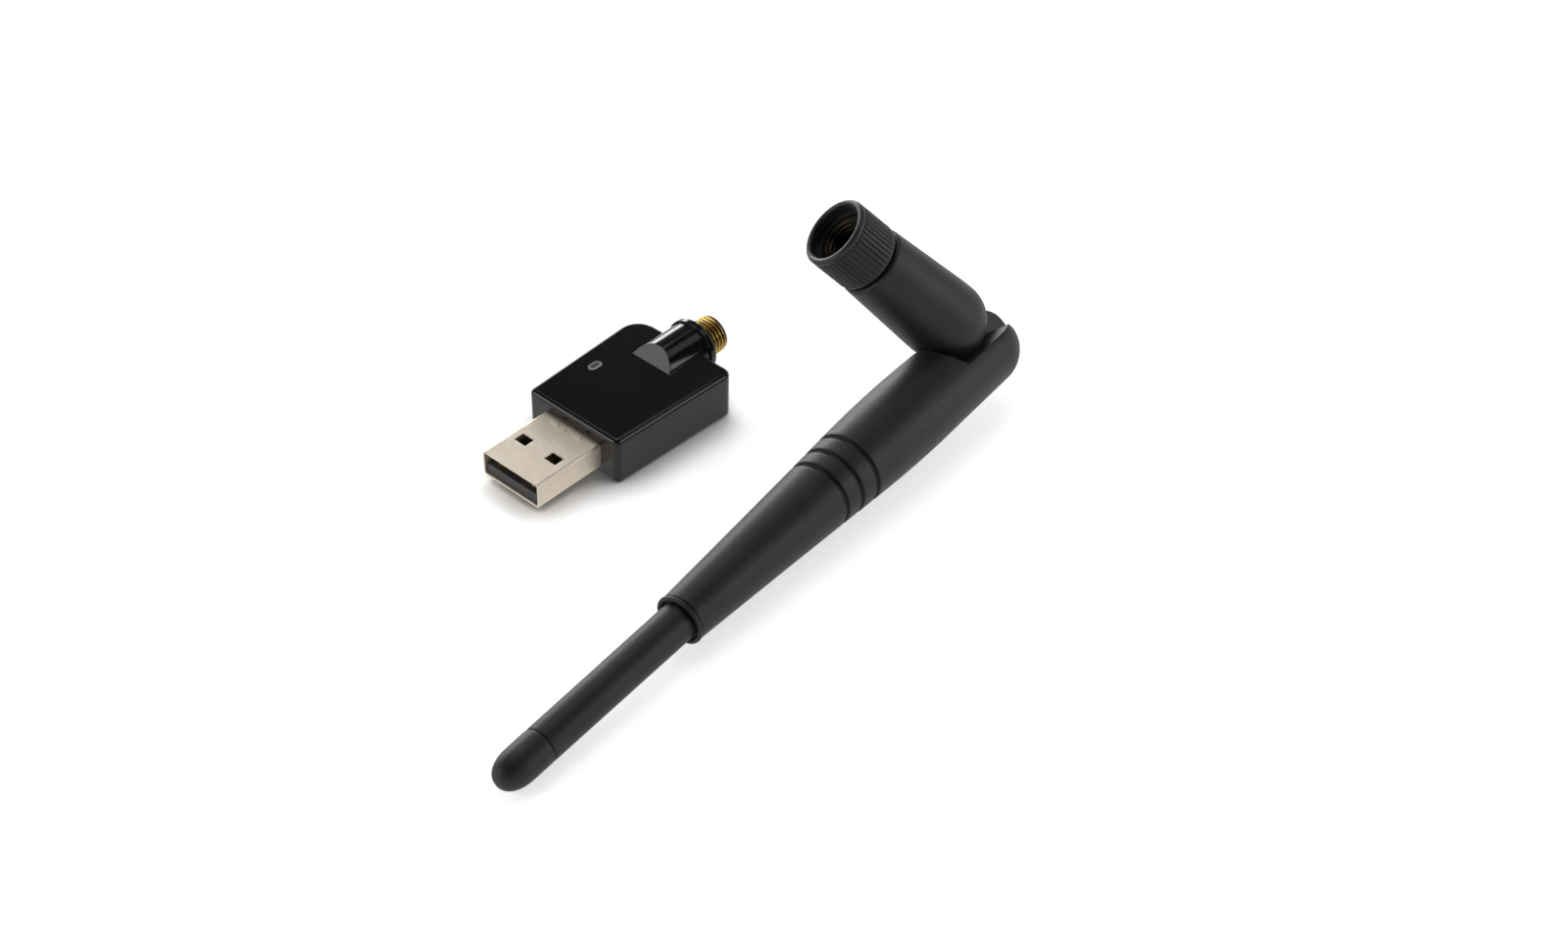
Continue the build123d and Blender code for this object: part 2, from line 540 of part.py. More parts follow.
export_tube("radiator_tube", whip_section.offset(TUBE_S0), length=TUBE_S1 - TUBE_S0,
            outer_r=2.0, bore_r=TUBE_BORE_R)
export_tube("whip_cable", whip_section.offset(CABLE_S0), length=TUBE_S1 - CABLE_S0,
            outer_r=CABLE_R, bore_r=WIRE_R + 0.01)
export_tube("radiator_ferrule", whip_section.offset(TUBE_S1 - RING_L), length=RING_L,
            outer_r=TUBE_BORE_R - 0.01, bore_r=CABLE_R + 0.01)

with BuildPart() as radiator_wire:
    with BuildSketch(whip_section.offset(WIRE_S0)):
        Circle(WIRE_R)
    extrude(amount=WIRE_S1 - WIRE_S0)
    with BuildSketch(whip_section.offset(THICK_S0)):
        Circle(THICK_R)
    extrude(amount=THICK_S1 - THICK_S0)
export_piece(radiator_wire, "radiator_wire")

# ================================================================ tilting base and hinge
# ---- knuckle with its domed end and the tongue
BASE_FACE = CHEEK_Y - 0.2                    # the base rests along the cheeks when fully folded
# station, radius
KNUCKLE_MOUTH = (
    (26.6, BASE_R1 + 0.02), (27.0, BASE_R1 - 0.35), (27.0, SWIVEL_R + RUN),
    (20.65, SWIVEL_R + RUN), (20.65, 3.9), (19.0, 3.9), (19.0, 2.6), (13.4, 2.6),
    (12.0, 0), (BASE_DOME_S - BASE_R0, 0))

with BuildPart() as knuckle_housing:
    with BuildSketch(base_plane):
        with BuildLine():
            ThreePointArc((BASE_DOME_S - BASE_R0, 0),
                          (BASE_DOME_S - BASE_R0 * COS_45, BASE_R0 * COS_45),
                          (BASE_DOME_S, BASE_R0))
            Spline((BASE_DOME_S, BASE_R0), (17, 6.34), (26.6, BASE_R1 + 0.02),
                   tangents=((1, 0), (1, -0.055)))
            Polyline(*KNUCKLE_MOUTH)
        make_face()
    revolve(axis=base_axis)
    # flat that lies along the cheeks when fully folded
    with BuildSketch(base_plane.offset(-CUT_REACH)):
        with BuildLine():
            Polyline(((COS_FOLD * CUT_REACH - BASE_FACE) / SIN_FOLD, CUT_REACH),
                     ((-COS_FOLD * CUT_REACH - BASE_FACE) / SIN_FOLD, -CUT_REACH),
                     (-CUT_REACH, -CUT_REACH), (-CUT_REACH, CUT_REACH), close=True)
        make_face()
    extrude(amount=2 * CUT_REACH, mode=Mode.SUBTRACT)
    # round tongue that turns between the cheeks, bored to grip the pin
    with BuildSketch(base_plane.offset(-TONGUE_T / 2)):
        Circle(TONGUE_R)
    extrude(amount=TONGUE_T)
    with BuildSketch(base_plane.offset(-TONGUE_T / 2)):
        Circle(PIN_R)
    extrude(amount=TONGUE_T, mode=Mode.SUBTRACT)
export_piece(knuckle_housing, "knuckle_housing")

# ---- hinge pin with a flat head on the whip's lower side
PIN_LOW, PIN_HIGH = -4.55, 4.1
HEAD_TOP, HEAD_T, HEAD_R = -4.65, 0.9, 1.65

with BuildPart() as hinge_pin:
    with BuildSketch(whip_plane.offset(PIN_LOW)):
        Circle(PIN_R)
    extrude(amount=PIN_HIGH - PIN_LOW)
    with BuildSketch(whip_plane.offset(HEAD_TOP)):
        Circle(HEAD_R)
    extrude(amount=-HEAD_T)
    # short neck joining the head to the pin
    with BuildSketch(whip_plane.offset(HEAD_TOP - 0.01)):
        Circle(PIN_R)
    extrude(amount=0.2)
export_piece(hinge_pin, "hinge_pin")

# ---- friction washer between the tongue and the lower cheek
WASHER_T = 0.41
export_tube("friction_washer", whip_plane.offset(-FORK_T / 2 - WASHER_T), length=WASHER_T,
            outer_r=1.93, bore_r=PIN_R + 0.06)

# ================================================================ connector in the base
# ---- body that swivels in the base: station, radius
PLUG_BODY_OUTLINE = (
    (17.0, 1.35), (17.0, 1.9), (19.05, 1.9), (19.05, 3.8), (20.55, 3.8),
    (20.55, SWIVEL_R), (27.15, SWIVEL_R), (27.15, 2.9), (28.2, 2.9), (28.2, 2.5),
    (28.8, 2.5), (28.8, 2.9), (29.6, 2.9), (29.6, 2.28), (31.0, 2.28), (31.0, 2.06),
    (22.0, 2.06), (22.0, 1.35))
export_turned("plug_body", base_plane, base_axis, PLUG_BODY_OUTLINE)

# ---- insulator, cable and crimp ring
DIELECTRIC_S0, DIELECTRIC_S1 = 22.02, 30.0
SOCKET_R = 0.64                              # outside radius of the centre contact
BASE_CABLE_S0, BASE_CABLE_S1 = 13.6, 20.9

export_tube("plug_dielectric", base_section.offset(DIELECTRIC_S0),
            length=DIELECTRIC_S1 - DIELECTRIC_S0, outer_r=2.05, bore_r=SOCKET_R + 0.01)
export_tube("base_cable", base_section.offset(BASE_CABLE_S0),
            length=BASE_CABLE_S1 - BASE_CABLE_S0, outer_r=CABLE_R)
export_tube("crimp_ferrule", base_section.offset(14.4), length=6.4,
            outer_r=1.34, bore_r=CABLE_R + 0.01)

# ---- centre contact, bored at its nut end
SOCKET_S0, SOCKET_S1, SOCKET_BORE_S0, SOCKET_BORE_R = 21.0, 30.6, 27.0, 0.47

with BuildPart() as plug_center_contact:
    with BuildSketch(base_section.offset(SOCKET_S0)):
        Circle(SOCKET_R)
    extrude(amount=SOCKET_S1 - SOCKET_S0)
    with BuildSketch(base_section.offset(SOCKET_BORE_S0)):
        Circle(SOCKET_BORE_R)
    extrude(amount=5, mode=Mode.SUBTRACT)
export_piece(plug_center_contact, "plug_center_contact")

# ================================================================ coupling nut
# ---- knurled sleeve
NUT_S0, NUT_S1, NUT_R = 27.4, 35.5, 5.6
BEAD_R = NUT_R + 0.14                        # raised bead round the mouth
MOUTH_R = 4.7
INSERT_S1, INSERT_R = 33.3, 4.35
SLEEVE_BORE_R = INSERT_R + 0.01
RIB_COUNT, RIB_R = 46, 0.2
RIB_S0, RIB_S1 = NUT_S0 + 0.55, NUT_S1 - 0.98

with BuildPart() as nut_sleeve:
    with BuildSketch(base_plane):
        with BuildLine():
            Polyline((NUT_S0, SLEEVE_BORE_R), (NUT_S0, 5.35), (NUT_S0 + 0.35, NUT_R),
                     (NUT_S1 - 0.95, NUT_R), (NUT_S1 - 0.85, BEAD_R), (NUT_S1 - 0.6, BEAD_R))
            Spline((NUT_S1 - 0.6, BEAD_R), (NUT_S1 - 0.17, NUT_R - 0.03),
                   (NUT_S1, NUT_R - 0.42), tangents=((1, 0), (0, -1)))
            Spline((NUT_S1, NUT_R - 0.42), (NUT_S1 - 0.1, 4.82), (NUT_S1 - 0.45, MOUTH_R),
                   tangents=((0, -1), (-1, 0)))
            Polyline((NUT_S1 - 0.45, MOUTH_R), (INSERT_S1 + FIT, MOUTH_R),
                     (INSERT_S1 + FIT, SLEEVE_BORE_R), (NUT_S0, SLEEVE_BORE_R))
        make_face()
    revolve(axis=base_axis)
    # knurl of straight ribs
    with BuildSketch(base_section.offset(RIB_S0)):
        with PolarLocations(NUT_R - 0.02, RIB_COUNT):
            Circle(RIB_R)
    extrude(amount=RIB_S1 - RIB_S0)
export_piece(nut_sleeve, "nut_sleeve")

# ---- brass insert: neck round the connector, relief, then the thread
THREAD_R, NECK_R = 3.24, 2.97
INSERT_OUTLINE = (
    (27.5, NECK_R), (27.5, INSERT_R), (INSERT_S1, INSERT_R), (INSERT_S1, THREAD_R),
    (31.1, THREAD_R), (31.1, 3.5), (29.5, 3.5), (29.5, NECK_R), (28.87, NECK_R),
    (28.87, 3.4), (28.13, 3.4), (28.13, NECK_R))
export_turned("nut_insert", base_plane, base_axis, INSERT_OUTLINE)

# ---- split ring that keeps the nut on the connector
with BuildPart() as retaining_ring:
    with BuildSketch(base_section.offset(28.25)):
        Circle(3.35)
        Circle(2.56, mode=Mode.SUBTRACT)
        with Locations((3.0, 0)):
            Rectangle(2.0, 0.8, mode=Mode.SUBTRACT)
    extrude(amount=0.5)
export_piece(retaining_ring, "retaining_ring")

# ---- soft seal at the bottom of the nut
export_tube("nut_gasket", base_section.offset(29.9), length=0.7, outer_r=3.48, bore_r=2.35)
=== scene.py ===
# A wireless USB adapter with its whip antenna unscrewed and lying beside it.
# The axis of the adapter's threaded jack runs along +X. The antenna is on the -Y side: from its
# hinge the whip runs almost level towards -X, and the base tilts up towards -X and +Y.
# Shapes are in millimetres and scaled by MM. Shaders, floor, lights and camera are in metres.
import math
import bmesh
import bpy
import numpy as np
from mathutils import Matrix, Vector


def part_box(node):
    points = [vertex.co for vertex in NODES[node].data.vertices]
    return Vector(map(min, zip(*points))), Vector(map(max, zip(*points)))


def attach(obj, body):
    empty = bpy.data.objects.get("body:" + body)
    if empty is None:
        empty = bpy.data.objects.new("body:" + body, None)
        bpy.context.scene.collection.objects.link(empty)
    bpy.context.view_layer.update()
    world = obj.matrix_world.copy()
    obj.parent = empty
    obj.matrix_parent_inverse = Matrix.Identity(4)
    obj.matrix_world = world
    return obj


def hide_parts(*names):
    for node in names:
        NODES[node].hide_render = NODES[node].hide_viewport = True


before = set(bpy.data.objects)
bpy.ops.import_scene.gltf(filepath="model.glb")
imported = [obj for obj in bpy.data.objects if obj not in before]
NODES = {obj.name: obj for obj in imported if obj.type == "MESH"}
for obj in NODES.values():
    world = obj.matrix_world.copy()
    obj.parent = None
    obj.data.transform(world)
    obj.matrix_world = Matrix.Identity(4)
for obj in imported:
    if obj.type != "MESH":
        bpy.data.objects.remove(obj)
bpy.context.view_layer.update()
scene = bpy.context.scene
MM = 0.001


# ---------------------------------------------------------------- driving dimensions
def direction(azimuth, elevation):
    a, e = math.radians(azimuth), math.radians(elevation)
    return np.array([math.cos(a) * math.cos(e), math.sin(a) * math.cos(e), math.sin(e)])


HINGE = np.array([69.33, -34.83, 3.90])
WHIP_AXIS = direction(-176.2085, -2.5444)   # from the hinge to the tip
BASE_AXIS = direction(141.8272, 46.0151)    # from the hinge to the nut
PIN_AXIS = np.cross(BASE_AXIS, WHIP_AXIS)
PIN_AXIS /= np.linalg.norm(PIN_AXIS)
WHIP_SIDE = np.cross(PIN_AXIS, WHIP_AXIS)   # square to the whip and the pin
BASE_SIDE = np.cross(PIN_AXIS, BASE_AXIS)   # square to the base and the pin
COS_TILT = float(BASE_AXIS @ WHIP_AXIS)
SIN_TILT = math.sqrt(1 - COS_TILT * COS_TILT)

# Stations count from the hinge along the whip or the base.
SLEEVE_END = 74.9
CAP_START = 103.9
SLEEVE_R = 6.3          # the sleeve's domed end
SLOT_WIDTH = 3.1        # slot in the whip for the tongue
TONGUE_WIDTH = 3.0
TONGUE_R = 6.15
CHEEK = -2.3            # the whip's flat cheek, along WHIP_SIDE
BASE_R = 6.7
BASE_DOME = 9.0         # station of the centre of the base's domed end
CUT_REACH = 14          # how far the cutting blocks reach past the parts
SWING_GAP = 0.15        # room around the base's dome as it swings
THREAD_PITCH = 25.4 / 36

JACK_Z = 2.75           # height of the jack's axis
JACK_CREST_R = 3.175
INSERT_ROOT_R = 3.24
NUT_R = 5.5
NUT_RIBS = 46
FLOOR_Z = -3.75 * MM - 0.00002


# ---------------------------------------------------------------- mesh helpers
def shade(piece, angle):
    """Smooth shading, with edges sharper than the angle kept hard."""
    mesh = piece.data
    for polygon in mesh.polygons:
        polygon.use_smooth = True
    bm = bmesh.new()
    bm.from_mesh(mesh)
    limit = math.radians(angle)
    for edge in bm.edges:
        edge.smooth = not (len(edge.link_faces) == 2 and edge.calc_face_angle(0.0) > limit)
    bm.to_mesh(mesh)
    bm.free()
    mesh.update()


def new_object(name, verts, faces, angle=32):
    mesh = bpy.data.meshes.new(name)
    mesh.from_pydata([tuple(v) for v in (np.asarray(verts) * MM)], [], faces)
    mesh.validate()
    piece = bpy.data.objects.new(name, mesh)
    scene.collection.objects.link(piece)
    shade(piece, angle)
    bm = bmesh.new()
    bm.from_mesh(mesh)
    bmesh.ops.recalc_face_normals(bm, faces=bm.faces)
    bm.to_mesh(mesh)
    bm.free()
    return piece


def frame_axes(axis, ref):
    """The unit axis, the part of ref square to it, and the third direction."""
    a = np.array(axis, float)
    a /= np.linalg.norm(a)
    u = np.array(ref, float) - a * (np.array(ref, float) @ a)
    u /= np.linalg.norm(u)
    return a, u, np.cross(a, u)


def revolve(name, profile, origin, axis, ref, segments, closed=False, radius_fn=None, angle=32):
    """Turn a profile of (station, radius) about an axis; a zero radius makes a pole.
    radius_fn(station, radius, angles) may vary the radius around a ring."""
    a, u, v = frame_axes(axis, ref)
    turn = np.arange(segments) * 2 * math.pi / segments
    spokes = np.cos(turn)[:, None] * u + np.sin(turn)[:, None] * v
    verts, rows = [], []
    for s, r in np.array(profile, float):
        is_pole = r < 1e-6
        rows.append((is_pole, len(verts)))
        if is_pole:
            verts.append(origin + a * s)
        else:
            radii = radius_fn(s, r, turn) if radius_fn else r
            verts.extend(origin + a * s + spokes * np.reshape(radii, (-1, 1)))
    faces = []
    count = len(rows)
    for i in range(count if closed else count - 1):
        (pole_a, ia), (pole_b, ib) = rows[i], rows[(i + 1) % count]
        for k in range(segments):
            k2 = (k + 1) % segments
            if not pole_a and not pole_b:
                faces.append((ia + k, ib + k, ib + k2, ia + k2))
            elif pole_a and not pole_b:
                faces.append((ia, ib + k, ib + k2))
            elif pole_b and not pole_a:
                faces.append((ia + k, ib, ia + k2))
    return new_object(name, verts, faces, angle)


def prism(name, outline, x, y, z, start, end):
    """An outline in the plane (x, y) through the hinge, pushed along z from start to end."""
    outline = np.array(outline, float)
    low = HINGE + outline[:, :1] * x + outline[:, 1:] * y + z * start
    high = HINGE + outline[:, :1] * x + outline[:, 1:] * y + z * end
    n = len(outline)
    faces = [tuple(range(n))[::-1], tuple(range(n, 2 * n))]
    faces += [(i, (i + 1) % n, n + (i + 1) % n, n + i) for i in range(n)]
    return new_object(name, np.vstack([low, high]), faces)


def pin_disc(name, radius, start, end, segments):
    """A disc about the hinge pin."""
    a, u, v = frame_axes(PIN_AXIS, WHIP_AXIS)
    circle = [(radius * math.cos(t), radius * math.sin(t))
              for t in np.arange(segments) * 2 * math.pi / segments]
    return prism(name, circle, u, v, a, start, end)


def combine(piece, tool, operation="DIFFERENCE"):
    """Apply a boolean with the tool, then remove the tool."""
    modifier = piece.modifiers.new("cut", "BOOLEAN")
    modifier.operation = operation
    modifier.object = tool
    modifier.solver = "EXACT"
    depsgraph = bpy.context.evaluated_depsgraph_get()
    mesh = bpy.data.meshes.new_from_object(piece.evaluated_get(depsgraph))
    piece.modifiers.clear()
    old = piece.data
    piece.data = mesh
    bpy.data.meshes.remove(old)
    bpy.data.objects.remove(tool)


def round_end(centre, radius, stop, count):
    """Profile of a ball about the centre station, from its pole to the angle stop."""
    return [(centre - radius * math.cos(t), radius * math.sin(t))
            for t in np.linspace(0, stop, count)]


def smooth_curve(points, step=0.7):
    """Cubic through (x, y) points, level at its start, sampled about every step."""
    x, y = np.array(points, float).T
    h = np.diff(x)
    d = np.diff(y) / h
    slope = np.zeros_like(x)
    slope[1:-1] = (d[:-1] * h[1:] + d[1:] * h[:-1]) / (h[1:] + h[:-1])
    slope[-1] = d[-1]
    curve = []
    for i in range(len(h)):
        count = max(2, int(math.ceil(h[i] / step)))
        for t in np.linspace(0, 1, count, endpoint=False):
            h00, h10 = 2 * t**3 - 3 * t**2 + 1, t**3 - 2 * t**2 + t
            h01, h11 = -2 * t**3 + 3 * t**2, t**3 - t**2
            curve.append((x[i] + t * h[i],
                          h00 * y[i] + h10 * h[i] * slope[i]
                          + h01 * y[i + 1] + h11 * h[i] * slope[i + 1]))
    curve.append((x[-1], y[-1]))
    return curve


# ---------------------------------------------------------------- shader helpers
def clear_tree(owner):
    owner.use_nodes = True
    owner.node_tree.nodes.clear()
    return owner.node_tree


def new_material(name):
    material = bpy.data.materials.new(name)
    return material, clear_tree(material)


def add_node(tree, kind, inputs=None, **settings):
    """Add a shader node. inputs maps a socket to a value, or to an output to link."""
    node = tree.nodes.new("ShaderNode" + kind)
    for key, value in settings.items():
        setattr(node, key, value)
    for socket, value in (inputs or {}).items():
        if isinstance(value, bpy.types.NodeSocket):
            tree.links.new(value, node.inputs[socket])
        else:
            node.inputs[socket].default_value = value
    return node


def principled(tree, inputs):
    shader = add_node(tree, "BsdfPrincipled", inputs)
    add_node(tree, "OutputMaterial", {0: shader.outputs[0]})


def calc(tree, operation, *values):
    return add_node(tree, "Math", dict(enumerate(values)), operation=operation).outputs[0]


def object_coords(tree):
    return add_node(tree, "TexCoord").outputs["Object"]


def noise(tree, scale, detail=3.0, rough=0.55, stretch=None, seed=0.0):
    placing = {"Location": (seed, seed * 0.7, seed * 1.3), 0: object_coords(tree)}
    if stretch:
        placing["Scale"] = stretch
    mapping = add_node(tree, "Mapping", placing)
    return add_node(tree, "TexNoise", {
        "Scale": scale, "Detail": detail, "Roughness": rough,
        "Vector": mapping.outputs[0]}).outputs["Fac"]


def remap(tree, source, span, to):
    """Map the span of the source onto the two values of to."""
    return add_node(tree, "MapRange", {
        "From Min": span[0], "From Max": span[1], "To Min": to[0], "To Max": to[1],
        "Value": source}).outputs["Result"]


def ramp(tree, source, stops):
    """Colour ramp; stops are (position, colour)."""
    node = add_node(tree, "ValToRGB", {0: source})
    elements = node.color_ramp.elements
    while len(elements) < len(stops):
        elements.new(0.5)
    for element, (position, colour) in zip(elements, stops):
        element.position = position
        element.color = (*colour, 1)
    return node.outputs[0]


def bump(tree, height, strength, depth, normal=None):
    """Bump of a depth in millimetres, over another normal if one is given."""
    inputs = {"Strength": strength, "Distance": depth * MM, "Height": height}
    if normal is not None:
        inputs["Normal"] = normal
    return add_node(tree, "Bump", inputs).outputs["Normal"]


def bevel(tree, radius, samples=6):
    """Rounded edges; the radius is in metres, or an output to link."""
    return add_node(tree, "Bevel", {"Radius": radius}, samples=samples).outputs[0]


def grey(value):
    return (value, value, value)


# ---------------------------------------------------------------- materials
# dark and light end the colour mottle and rough is the roughness range.
# grain is the bump strength and edge the rounding of edges in millimetres.
def soft_touch(name, dark=(0.0055, 0.0056, 0.0058), light=(0.0115, 0.0117, 0.012),
               rough=(0.40, 0.57), grain=0.50, edge=0.28, seed=0.0):
    material, tree = new_material(name)
    fine = noise(tree, scale=5200, detail=2.5, rough=0.6, seed=seed)
    broad = noise(tree, scale=160, detail=3, rough=0.5, seed=seed + 1)
    # Edges are rounder close to the hinge.
    reach = add_node(tree, "VectorMath", {0: object_coords(tree), 1: tuple(HINGE * MM)},
                     operation="DISTANCE").outputs["Value"]
    edges = bevel(tree, remap(tree, reach, span=(0.0085, 0.014), to=(0.60 * MM, edge * MM)),
                  samples=8)
    principled(tree, {
        "Base Color": ramp(tree, broad, [(0.3, dark), (0.72, light)]),
        "Roughness": remap(tree, fine, span=(0.3, 0.7), to=rough),
        "Specular IOR Level": 0.5,
        "Sheen Weight": 0.16,
        "Sheen Roughness": 0.34,
        "Normal": bump(tree, fine, strength=grain, depth=0.06, normal=edges),
    })
    return material


def gloss_black(name, seed=0.0):
    """Glossy black with smears, rougher specks and a slight orange peel."""
    material, tree = new_material(name)
    smear = noise(tree, scale=70, detail=4, rough=0.6, seed=seed + 3)
    speck = noise(tree, scale=2600, detail=2, rough=0.5, seed=seed + 5)
    peel = noise(tree, scale=420, detail=2, rough=0.5, seed=seed + 7)
    principled(tree, {
        "Base Color": ramp(tree, smear, [(0.35, (0.0045, 0.0045, 0.0052)),
                                         (0.7, (0.0075, 0.0075, 0.0085))]),
        "Roughness": calc(tree, "ADD",
                          remap(tree, smear, span=(0.35, 0.75), to=(0.07, 0.14)),
                          remap(tree, speck, span=(0.62, 0.8), to=(0.0, 0.10))),
        "Specular IOR Level": 0.5,
        "Normal": bump(tree, peel, strength=0.05, depth=0.08, normal=bevel(tree, 0.18 * MM)),
    })
    return material


def metal(name, dark, light, rough=(0.2, 0.35), scale=2500, stretch=None, grain=0.15,
          edge=0.08, metallic=1.0, seed=0.0):
    material, tree = new_material(name)
    fine = noise(tree, scale=scale, detail=3, rough=0.6, stretch=stretch, seed=seed)
    broad = noise(tree, scale=220, detail=3, rough=0.5, seed=seed + 2)
    # The mottle is 0.6 fine and 0.4 broad noise.
    mottle = calc(tree, "MULTIPLY_ADD", fine, 0.6, calc(tree, "MULTIPLY", broad, 0.4))
    principled(tree, {
        "Base Color": ramp(tree, mottle, [(0.35, dark), (0.68, light)]),
        "Roughness": remap(tree, fine, span=(0.3, 0.7), to=rough),
        "Metallic": metallic,
        "Normal": bump(tree, fine, strength=grain, depth=0.03, normal=bevel(tree, edge * MM)),
    })
    return material


def plastic(name, dark, light, rough=(0.35, 0.5)):
    material, tree = new_material(name)
    fine = noise(tree, scale=3000, detail=3, rough=0.6)
    broad = noise(tree, scale=300, detail=3, rough=0.5, seed=1.0)
    principled(tree, {
        "Base Color": ramp(tree, broad, [(0.3, dark), (0.7, light)]),
        "Roughness": remap(tree, fine, span=(0.3, 0.7), to=rough),
        "Normal": bump(tree, fine, strength=0.12, depth=0.04, normal=bevel(tree, 0.05 * MM)),
    })
    return material


def jack_gold():
    """Gold plate with painted shade: dark brown in the thread's gaps, the plate's own bright
    colour on its crests.
    """
    material = metal("gold_thread", dark=(0.72, 0.50, 0.13), light=(0.98, 0.78, 0.30),
                     rough=(0.16, 0.30), scale=1800, grain=0.10, edge=0.02, seed=2.0)
    tree = material.node_tree
    base_color = tree.nodes["Principled BSDF"].inputs["Base Color"]
    plate = base_color.links[0].from_socket
    # Flattening X leaves the distance from the jack's axis.
    mapping = add_node(tree, "Mapping", {
        "Location": (0, 0, -JACK_Z * MM), "Scale": (0, 1, 1), 0: object_coords(tree)})
    radius = add_node(tree, "VectorMath", {0: mapping.outputs[0]}, operation="LENGTH")
    height = remap(tree, radius.outputs["Value"], span=(0.00280, 0.00312), to=(0.0, 1.0))
    # Painted shade: the thread's gaps are darkened by their distance from the jack's axis.
    groove_shade = ramp(tree, height, [
        (0.0, (0.10, 0.07, 0.02)), (0.55, (0.35, 0.26, 0.09)), (0.9, grey(1.0))])
    mix = add_node(tree, "Mix", {"Factor": 1.0, 6: plate, 7: groove_shade},
                   data_type="RGBA", blend_type="MULTIPLY")
    tree.links.new(mix.outputs[2], base_color)
    return material


def frosted_window():
    """Frosted oval: a pale rim and a darker middle, by distance from the oval's spine."""
    material, tree = new_material("window_frosted")
    low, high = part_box("light_pipe")
    centre_x, centre_y = (low.x + high.x) / 2, (low.y + high.y) / 2
    half_spine = 0.0005
    place = add_node(tree, "SeparateXYZ", {0: object_coords(tree)}).outputs
    dx = calc(tree, "ABSOLUTE", calc(tree, "SUBTRACT", place[0], centre_x))
    dx = calc(tree, "MAXIMUM", calc(tree, "SUBTRACT", dx, half_spine), 0.0)
    dy = calc(tree, "SUBTRACT", place[1], centre_y)
    distance = calc(tree, "SQRT", calc(tree, "ADD", calc(tree, "MULTIPLY", dx, dx),
                                       calc(tree, "MULTIPLY", dy, dy)))
    grain = noise(tree, scale=4200, detail=3, rough=0.6)
    # Distance in millimetres, its edges broken up by the grain.
    broken = calc(tree, "ADD", calc(tree, "MULTIPLY", distance, 1000.0),
                  calc(tree, "MULTIPLY", grain, 0.12))
    principled(tree, {
        "Base Color": ramp(tree, broken, [
            (0.36, (0.055, 0.057, 0.062)), (0.50, (0.34, 0.345, 0.355)),
            (0.74, (0.40, 0.405, 0.41)), (0.82, (0.10, 0.10, 0.11))]),
        "Roughness": 0.34,
        "Normal": bump(tree, grain, strength=0.2, depth=0.04),
    })
    return material


# Materials that several pieces share
soft_rod = soft_touch("soft_touch_black_rod", seed=4.0)
gold = metal("gold_plate", dark=(0.72, 0.50, 0.13), light=(0.98, 0.76, 0.27),
             rough=(0.14, 0.28), scale=1800, grain=0.08, edge=0.03)
chip = plastic("chip_black", dark=grey(0.012), light=grey(0.02), rough=(0.5, 0.65))
brass = metal("brass_tube", dark=(0.42, 0.30, 0.12), light=(0.62, 0.47, 0.22),
              rough=(0.28, 0.42), seed=5.0)
cable = plastic("cable_jacket", dark=grey(0.02), light=grey(0.035), rough=(0.4, 0.55))
steel = metal("pin_steel", dark=(0.34, 0.34, 0.35), light=(0.52, 0.52, 0.53),
              rough=(0.3, 0.45), seed=7.0)
# Near-black brass for the nut's insert and the plug inside it: painted shade standing in for
# the dark inside the nut's mouth.
nut_brass = metal("nut_brass", dark=(0.012, 0.010, 0.007), light=(0.034, 0.029, 0.020),
                  rough=(0.35, 0.5), seed=8.0)

